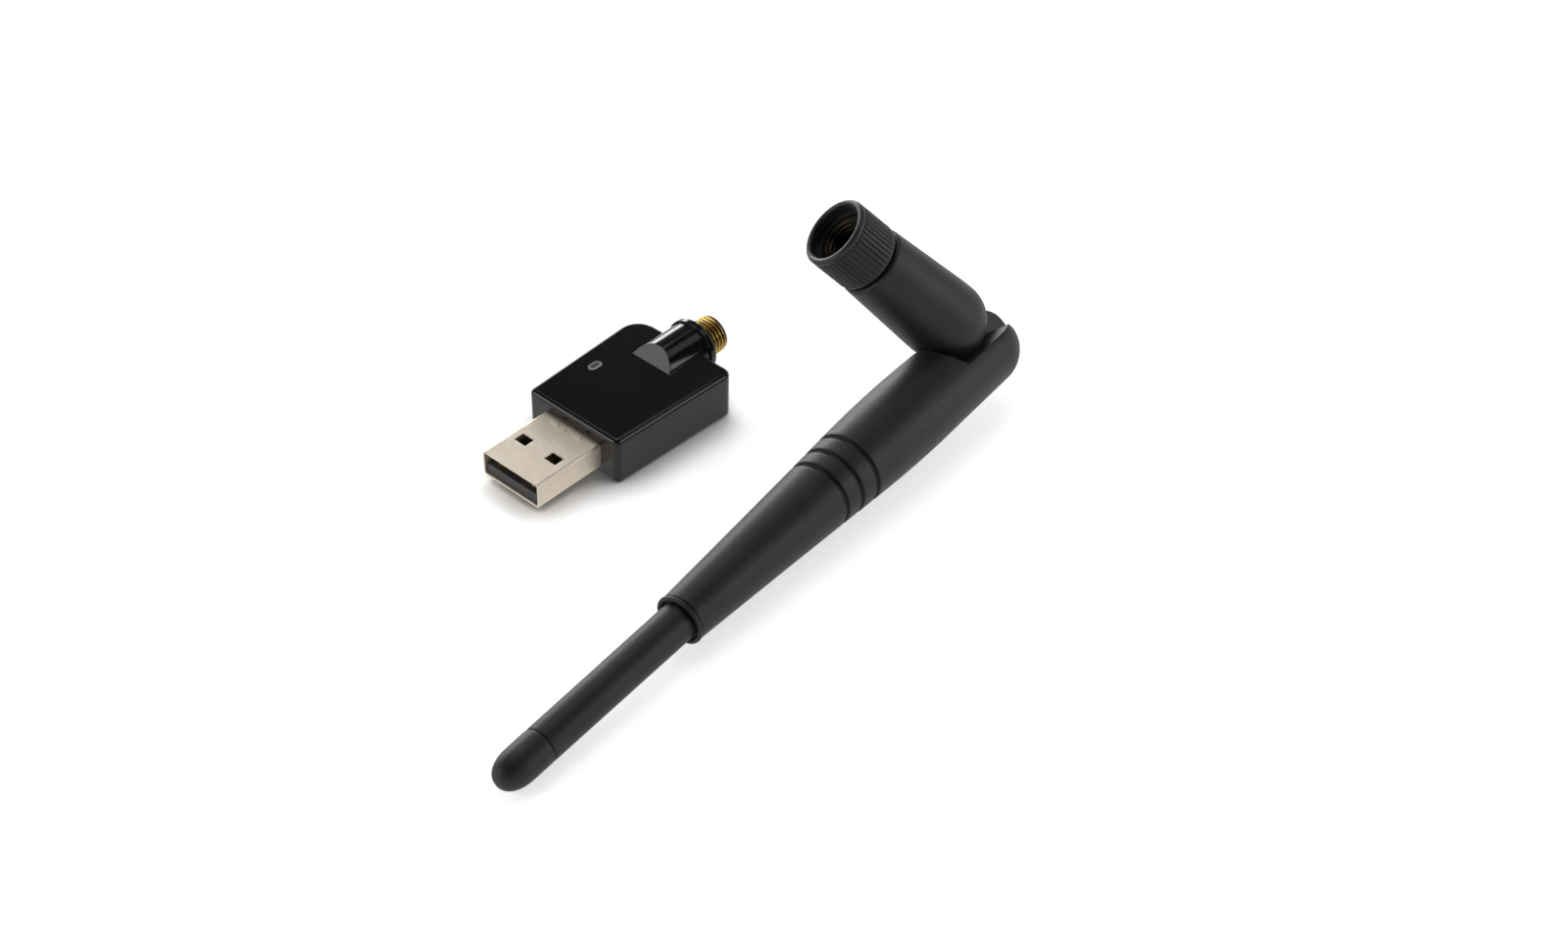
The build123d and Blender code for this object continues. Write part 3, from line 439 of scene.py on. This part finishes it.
MATERIALS = {
    "upper_shell": gloss_black("housing_gloss_black"),
    "lower_shell": gloss_black("housing_gloss_black_low", seed=6.0),
    "usb_shield": metal("nickel_shell", dark=(0.84, 0.735, 0.60), light=(1.0, 0.905, 0.77),
                        rough=(0.40, 0.54), scale=3600, stretch=(0.45, 1, 1), grain=0.35,
                        edge=0.10, metallic=0.78),
    "usb_insulator": plastic("tongue_plastic", dark=(0.030, 0.028, 0.027),
                             light=(0.055, 0.052, 0.050), rough=(0.4, 0.55)),
    "usb_contacts": gold,
    "circuit_board": plastic("board_green", dark=(0.01, 0.07, 0.03),
                             light=(0.02, 0.12, 0.05), rough=(0.25, 0.4)),
    "wifi_chip": chip,
    "crystal": metal("can_metal", dark=grey(0.6), light=(0.8, 0.8, 0.79),
                     rough=(0.25, 0.35), seed=3.0),
    "chip_capacitors": plastic("ceramic_tan", dark=(0.38, 0.27, 0.16),
                               light=(0.5, 0.37, 0.23)),
    "chip_inductors": plastic("chip_grey", dark=(0.12, 0.12, 0.13), light=(0.2, 0.2, 0.21)),
    "regulator": chip,
    "memory_chip": chip,
    "status_led": plastic("led_lens", dark=(0.6, 0.62, 0.55), light=(0.75, 0.76, 0.7),
                          rough=(0.1, 0.2)),
    "light_pipe": frosted_window(),
    "antenna_jack_body": jack_gold(),
    "jack_dielectric": plastic("ptfe_white", dark=(0.66, 0.66, 0.63),
                               light=(0.8, 0.8, 0.77), rough=(0.45, 0.6)),
    "jack_center_contact": gold,
    "whip_sleeve": soft_touch("soft_touch_black"),
    "whip_rod": soft_rod,
    "tip_cap": soft_rod,
    "radiator_tube": brass,
    "whip_cable": cable,
    "radiator_wire": metal("copper_wire", dark=(0.5, 0.24, 0.12), light=(0.7, 0.38, 0.2),
                           rough=(0.2, 0.35), seed=6.0),
    "radiator_ferrule": brass,
    "knuckle_housing": soft_touch("soft_touch_black_base", dark=(0.006, 0.0061, 0.0063),
                                  light=(0.0125, 0.0127, 0.013), seed=9.0),
    "hinge_pin": steel,
    "friction_washer": plastic("washer_plastic", dark=(0.55, 0.55, 0.53),
                               light=(0.7, 0.7, 0.68)),
    "plug_body": nut_brass,
    "plug_dielectric": cable,
    "plug_center_contact": brass,
    "base_cable": cable,
    "crimp_ferrule": brass,
    "nut_sleeve": soft_touch("nut_black", dark=(0.012, 0.012, 0.013),
                             light=(0.020, 0.020, 0.022), rough=(0.36, 0.46), grain=0.08,
                             edge=0.12, seed=13.0),
    "nut_insert": nut_brass,
    "retaining_ring": steel,
    "nut_gasket": plastic("gasket_rubber", dark=grey(0.015), light=grey(0.03),
                          rough=(0.6, 0.75)),
}
for name, node in NODES.items():
    node.data.materials.clear()
    node.data.materials.append(MATERIALS[name])


def finish_piece(piece, body, replaced):
    """Dress a piece like the CAD piece it replaces and attach it to its body."""
    piece.data.materials.clear()
    piece.data.materials.append(MATERIALS[replaced])
    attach(piece, body)
    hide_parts(replaced)


# ---------------------------------------------------------------- whip
GROOVES = (35.45, 39.05, 42.45)     # stations of the grooves' centres
GROOVE_DEPTH = 0.5
GROOVE_HALF = 0.54
GROOVE_SHOULDER = 0.16
GROOVE_OFFSETS = (-0.62, -0.52, -0.46, -0.42, -0.36, -0.2, 0,
                  0.2, 0.36, 0.42, 0.46, 0.52, 0.62)
SLEEVE_BODY = [     # (station, radius)
    (0, SLEEVE_R), (10, 6.42), (21, 6.56), (28, 6.42), (34.35, 6.12), (41.35, 5.70),
    (56, 4.88), (74.0, 3.93),
]
SLEEVE_LIP = [      # (offset from SLEEVE_END, radius): a notch, a rounded lip, then inwards
    (-0.86, 3.89), (-0.82, 3.78), (-0.78, 3.74), (-0.70, 3.73), (-0.65, 3.78), (-0.61, 3.92),
    (-0.54, 4.02), (-0.44, 4.05), (-0.25, 4.04), (-0.1, 3.98), (-0.02, 3.86), (0, 3.72),
    (-0.02, 3.56), (-0.1, 3.46), (-0.3, 3.42), (-1.0, 3.38), (-1.05, 3.02),
]
SLEEVE_BORE = [(60.5, 3.02), (60.5, 0)]     # (station, radius)


def groove_depth(x):
    distance = min(abs(x - groove) for groove in GROOVES)
    k = min(1, max(0, (GROOVE_HALF - distance) / GROOVE_SHOULDER))
    return GROOVE_DEPTH * (k * k * (3 - 2 * k))


def sleeve_profile():
    body_x, body_r = np.array(smooth_curve(SLEEVE_BODY)).T
    # Around each groove the body's own stations give way to closer ones.
    stations = [x for x in set(np.round(body_x, 4))
                if all(abs(x - groove) > 0.66 for groove in GROOVES)]
    stations += [groove + offset for groove in GROOVES for offset in GROOVE_OFFSETS]
    profile = round_end(0, SLEEVE_R, math.pi / 2, 28)[:-1]
    profile += [(x, float(np.interp(x, body_x, body_r)) - groove_depth(x))
                for x in sorted(stations)]
    profile += [(SLEEVE_END + offset, r) for offset, r in SLEEVE_LIP]
    return profile + SLEEVE_BORE


def swept_dome(name, radius, major, start, end, steps=36, segments=96):
    """The room a domed end sweeps as it swings about the pin: a bent tube with flat ends."""
    verts, faces = [], []
    turn = np.arange(segments) * 2 * math.pi / segments
    for a in np.linspace(start, end, steps):
        out = math.cos(a) * WHIP_AXIS + math.sin(a) * WHIP_SIDE
        verts.extend(HINGE + out[None] * (major + radius * np.cos(turn))[:, None]
                     + PIN_AXIS[None] * (radius * np.sin(turn))[:, None])
    for row in range(0, (steps - 1) * segments, segments):
        for k in range(segments):
            k2 = (k + 1) % segments
            faces.append((row + k, row + segments + k, row + segments + k2, row + k2))
    faces.append(tuple(range(segments)))
    faces.append(tuple(range((steps - 1) * segments, steps * segments))[::-1])
    return new_object(name, verts, faces)


def build_sleeve():
    whip = revolve("whip_sleeve_soft", sleeve_profile(), HINGE, WHIP_AXIS, PIN_AXIS, 192)
    combine(whip, pin_disc("slot_cut", TONGUE_R + 0.3, -SLOT_WIDTH / 2, SLOT_WIDTH / 2, 160))
    # Block beyond the cheek, its slanted side parallel to the base's axis.
    clear = BASE_R + 0.2
    combine(whip, prism("cheek_cut", [
        ((clear - COS_TILT * CHEEK) / SIN_TILT, CHEEK),
        ((clear + COS_TILT * CUT_REACH) / SIN_TILT, -CUT_REACH),
        (-CUT_REACH, -CUT_REACH),
        (-CUT_REACH, CHEEK)], WHIP_AXIS, WHIP_SIDE, PIN_AXIS, -12, 12))
    # Room for the base's dome as it swings, with a ball at one end of the sweep.
    swing_r = BASE_R + SWING_GAP
    combine(whip, swept_dome("swing_cut", swing_r, BASE_DOME, -math.pi, math.radians(-100)))
    combine(whip, revolve("swing_end_cut", round_end(0, swing_r, math.pi, 64),
                          HINGE - WHIP_AXIS * BASE_DOME, PIN_AXIS, WHIP_SIDE, 96))
    # Round recess about the pin's axis, in one side only.
    combine(whip, pin_disc("pin_recess_cut", 1.75, -12, -4.6, 64))
    shade(whip, 30)
    finish_piece(whip, "whip", "whip_sleeve")


def build_rod():
    profile = [     # (station, radius), a closed section
        (60.7, 2.05), (60.7, 3.0), (70, 3.0), (75.9, 3.0), (80, 2.978), (90, 2.924),
        (CAP_START - 0.35, 2.852), (CAP_START - 0.12, 2.82), (CAP_START - 0.02, 2.7),
        (CAP_START - 0.02, 2.05),
    ]
    rod = revolve("whip_rod_soft", profile, HINGE, WHIP_AXIS, PIN_AXIS, 128,
                  closed=True, angle=40)
    finish_piece(rod, "whip", "whip_rod")


def build_cap():
    nose_start, nose_end, nose_r = 107.8, 112.3, 2.845
    profile = [     # (station, radius): a plug inside the rod, then the cap's side
        (CAP_START - 2.9, 0), (CAP_START - 2.9, 2.03), (CAP_START + 0.04, 2.03),
        (CAP_START + 0.04, 2.68), (CAP_START + 0.12, 2.80), (CAP_START + 0.35, 2.85),
        (105.2, 2.855), (nose_start, nose_r),
    ]
    profile += [(nose_start + (nose_end - nose_start) * math.sin(t) ** 0.92,
                 nose_r * max(0.0, math.cos(t)) ** 0.80)
                for t in np.linspace(0, math.pi / 2, 22)[1:]]
    cap = revolve("tip_cap_soft", profile, HINGE, WHIP_AXIS, PIN_AXIS, 128, angle=40)
    finish_piece(cap, "whip", "tip_cap")


# ---------------------------------------------------------------- tilting base
def build_base():
    profile = round_end(BASE_DOME, BASE_R, math.pi / 2, 30)[:-1]
    profile += smooth_curve([(BASE_DOME, BASE_R), (17, 6.34), (26.5, 5.82)])
    profile += [    # (station, radius): rounded rim, end face and bore
        (26.7, 5.79), (26.86, 5.71), (26.96, 5.58), (27.0, 5.4), (27.0, 3.26),
        (20.65, 3.26), (20.65, 0),
    ]
    base = revolve("base_soft", profile, HINGE, BASE_AXIS, PIN_AXIS, 192)
    # Flat face parallel to the whip's cheek, a small gap beyond it.
    face = 0.2 - CHEEK
    combine(base, prism("face_cut", [
        ((COS_TILT * CUT_REACH + face) / SIN_TILT, CUT_REACH),
        ((face - COS_TILT * CUT_REACH) / SIN_TILT, -CUT_REACH),
        (-CUT_REACH, -CUT_REACH),
        (-CUT_REACH, CUT_REACH)], BASE_AXIS, BASE_SIDE, PIN_AXIS, -CUT_REACH, CUT_REACH))
    # Tongue: a disc about the pin with rounded edges.
    half = TONGUE_WIDTH / 2
    tongue = [
        (-half, 0.0), (-half, TONGUE_R - 0.3), (-half + 0.04, TONGUE_R - 0.16),
        (-half + 0.16, TONGUE_R - 0.04), (-half + 0.3, TONGUE_R),
    ]
    tongue += [(-s, r) for s, r in tongue[::-1]]
    combine(base, revolve("tongue", tongue, HINGE, PIN_AXIS, BASE_AXIS, 160), "UNION")
    shade(base, 30)
    finish_piece(base, "knuckle", "knuckle_housing")


# ---------------------------------------------------------------- coupling nut
def ribs(s, r, turn):
    """Straight ribs that fade out at both ends of the grip."""
    grip_start, grip_end = 27.85, 34.52
    if not (grip_start < s < grip_end and r > NUT_R - 0.05):
        return r
    fade = max(0.0, min(1.0, (s - grip_start) / 0.3, (grip_end - s) / 0.2))
    shape = np.clip(0.5 + 0.95 * np.cos(turn * NUT_RIBS), 0, 1)
    return r - 0.02 + 0.27 * fade * shape


def build_nut():
    # (station, radius), a closed section: rounded edge, grip, raised rim, bore
    profile = [(27.4, 4.36), (27.4, 5.2), (27.46, 5.38), (27.58, 5.47)]
    grip = [27.72, 27.9, 28.0, 28.1, 28.25, 28.5, *np.arange(29.0, 34.0, 0.5),
            34.1, 34.25, 34.4, 34.5]
    profile += [(s, NUT_R) for s in grip]
    profile += [(34.56, 5.58), (34.62, 5.68), (34.72, 5.74), (34.9, 5.74)]
    profile += [(34.9 + 0.6 * math.sin(t), 5.2 + 0.54 * math.cos(t))
                for t in np.linspace(0, math.pi / 2, 10)[1:]]
    profile += [(35.49, 5.05), (35.43, 4.9), (35.32, 4.79), (35.15, 4.72), (34.9, 4.7),
                (34.0, 4.7), (33.34, 4.7), (33.34, 4.36)]
    nut = revolve("nut_ribbed", profile, HINGE, BASE_AXIS, PIN_AXIS, NUT_RIBS * 14,
                  closed=True, radius_fn=ribs, angle=38)
    finish_piece(nut, "nut", "nut_sleeve")


def ridge(s, turn):
    """Height of the thread's ridge, 0 to 1, with flattened crests and roots."""
    x = s / THREAD_PITCH - turn / (2 * math.pi)
    x = x - np.floor(x)
    return np.clip((1 - np.abs(2 * x - 1)) * 1.35 - 0.12, 0, 1)


def inner_thread(s, r, turn):
    if abs(r - INSERT_ROOT_R) > 1e-6:
        return r
    fade = min(1.0, (33.18 - s) / 0.5)
    return INSERT_ROOT_R - 0.38 * max(0.0, fade) * ridge(s, turn)


def build_insert():
    # (station, radius), a closed section
    profile = [(27.5, 2.97), (27.5, 4.35), (33.3, 4.35), (33.3, 3.55), (33.18, 3.4)]
    profile += [(s, INSERT_ROOT_R) for s in np.arange(33.08, 31.15, -THREAD_PITCH / 10)]
    profile += [(31.1, INSERT_ROOT_R), (31.1, 3.5), (29.5, 3.5), (29.5, 2.97)]
    insert = revolve("nut_insert_thread", profile, HINGE, BASE_AXIS, PIN_AXIS, 96,
                     closed=True, radius_fn=inner_thread, angle=50)
    finish_piece(insert, "nut", "nut_insert")


# ---------------------------------------------------------------- gold jack
def outer_thread(s, r, turn):
    if abs(r - JACK_CREST_R) > 1e-6:
        return r
    fade = min(1.0, (s - 40.74) / 0.3)
    end_taper = 0.25 * max(0.0, (s - 44.25) / 0.42)
    return JACK_CREST_R - 0.42 * fade * (1 - ridge(s, turn)) - end_taper


def build_jack():
    # (x, radius), a closed section
    profile = [(33.6, 2.06), (33.6, 2.3), (36.0, 2.3), (36.0, 2.59), (40.72, 2.59)]
    profile += [(s, JACK_CREST_R) for s in np.arange(40.78, 44.66, THREAD_PITCH / 12)]
    profile += [(44.72, 3.0), (44.85, 2.78), (44.9, 2.7), (44.9, 2.42), (44.83, 2.36),
                (42.95, 2.35), (42.95, 2.06)]
    jack = revolve("jack_threaded", profile, np.array([0.0, 0.0, JACK_Z]), (1, 0, 0),
                   (0, 0, 1), 128, closed=True, radius_fn=outer_thread, angle=50)
    finish_piece(jack, "adapter", "antenna_jack_body")


build_sleeve()
build_rod()
build_cap()
build_base()
build_nut()
build_insert()
build_jack()


# ---------------------------------------------------------------- floor
def floor_material():
    """Bright to the camera, calmer to every other ray, and shaded close to the adapter."""
    material, tree = new_material("floor_pale")
    pale = ramp(tree, noise(tree, scale=900, detail=2, rough=0.5),
                [(0.3, grey(1.66)), (0.7, grey(1.72))])
    near = add_node(tree, "AmbientOcclusion", {"Distance": 0.0075}, samples=8)
    position = add_node(tree, "NewGeometry").outputs["Position"]
    place = add_node(tree, "SeparateXYZ", {0: position}).outputs
    # The zone is 1 around the adapter and 0 around the antenna.
    zone = calc(tree, "MULTIPLY",
                remap(tree, place[1], span=(-0.022, -0.016), to=(0.0, 1.0)),
                remap(tree, place[0], span=(0.036, 0.042), to=(1.0, 0.0)))
    contact = remap(tree, near.outputs["AO"], span=(0.35, 0.95), to=(0.10, 1.0))
    # 1 outside the zone, the contact shade inside it
    keep = calc(tree, "MULTIPLY_ADD", calc(tree, "SUBTRACT", contact, 1.0), zone, 1.0)
    tone = add_node(tree, "VectorMath", {0: pale, "Scale": keep}, operation="SCALE")

    def lit(colour, glow):
        """Diffuse colour plus a glow of its own."""
        diffuse = add_node(tree, "BsdfDiffuse", {0: colour})
        emission = add_node(tree, "Emission", {"Strength": glow})
        return add_node(tree, "AddShader",
                        {0: diffuse.outputs[0], 1: emission.outputs[0]}).outputs[0]

    seen = lit(tone.outputs["Vector"], glow=calc(tree, "MULTIPLY", keep, 0.52))
    calm = lit((*grey(0.80), 1), glow=0.42)
    is_camera = add_node(tree, "LightPath").outputs["Is Camera Ray"]
    mix = add_node(tree, "MixShader", {0: is_camera, 1: calm, 2: seen})
    add_node(tree, "OutputMaterial", {0: mix.outputs[0]})
    return material


def build_floor(half=3.0):
    mesh = bpy.data.meshes.new("floor")
    corners = [(-half, -half), (half, -half), (half, half), (-half, half)]
    mesh.from_pydata([(x, y, FLOOR_Z) for x, y in corners], [], [(0, 1, 2, 3)])
    floor = bpy.data.objects.new("floor", mesh)
    scene.collection.objects.link(floor)
    mesh.materials.append(floor_material())


# ---------------------------------------------------------------- camera
def build_camera():
    azimuth, elevation, roll = (math.radians(a) for a in (-49.39, 40.99, 1.61))
    distance = 370.38                             # millimetres, as is the target
    target = np.array([28.76, -29.41, 0.0])
    back = np.array([math.sin(azimuth) * math.cos(elevation),
                     -math.cos(azimuth) * math.cos(elevation), math.sin(elevation)])
    level = np.array([math.cos(azimuth), math.sin(azimuth), 0])
    rise = np.cross(back, level)
    right = math.cos(roll) * level + math.sin(roll) * rise
    up = -math.sin(roll) * level + math.cos(roll) * rise
    rows = np.column_stack([right, up, back, (target + back * distance) * MM])
    data = bpy.data.cameras.new("camera")
    data.sensor_width = 36
    data.lens = 56.25
    data.clip_start = 0.01
    data.clip_end = 20
    camera = bpy.data.objects.new("camera", data)
    scene.collection.objects.link(camera)
    camera.matrix_world = Matrix([*rows.tolist(), (0, 0, 0, 1)])
    scene.camera = camera


# ---------------------------------------------------------------- lights
LIGHT_TARGET = Vector((0.03, -0.02, 0.0))
PANELS = [      # name, direction from the target, distance, width, height, radiance
    ("over", (0.22, 0.30, 0.93), 0.70, 0.42, 0.42, 1.45),
    ("back_right_a", (0.573, -0.214, 0.791), 0.62, 0.22, 0.26, 0.55),
    ("back_right_b", (0.573, -0.731, 0.370), 0.62, 0.34, 0.26, 2.1),
    ("left", (-0.790, 0.491, 0.366), 0.55, 0.26, 0.26, 2.2),
    ("back_left", (0.42, 0.86, 0.17), 0.60, 0.60, 0.18, 6.0),
]


def build_panel(name, toward, distance, width, height, radiance):
    data = bpy.data.lights.new(name, "AREA")
    data.shape = "RECTANGLE"
    data.size = width
    data.size_y = height
    data.energy = radiance * math.pi * width * height
    light = bpy.data.objects.new(name, data)
    scene.collection.objects.link(light)
    place = LIGHT_TARGET + Vector(toward).normalized() * distance
    light.location = place
    facing = (place - LIGHT_TARGET).normalized()
    light.rotation_euler = facing.to_track_quat("Z", "Y").to_euler()


def build_world():
    """Grey surroundings that darken with height."""
    world = bpy.data.worlds.new("studio")
    scene.world = world
    tree = clear_tree(world)
    generated = add_node(tree, "TexCoord").outputs["Generated"]
    height = add_node(tree, "SeparateXYZ", {0: generated}).outputs[2]
    sky = [(0.0, 0.80), (0.22, 0.50), (0.45, 0.15), (0.9, 0.05)]    # (height, brightness)
    colour = ramp(tree, height, [(position, (v, v, v * 1.01)) for position, v in sky])
    background = add_node(tree, "Background", {0: colour, 1: 1.0})
    add_node(tree, "OutputWorld", {0: background.outputs[0]})


build_floor()
build_camera()
for panel in PANELS:
    build_panel(*panel)
build_world()
scene.view_settings.view_transform = "Standard"
scene.view_settings.look = "None"
scene.view_settings.exposure = 0.0
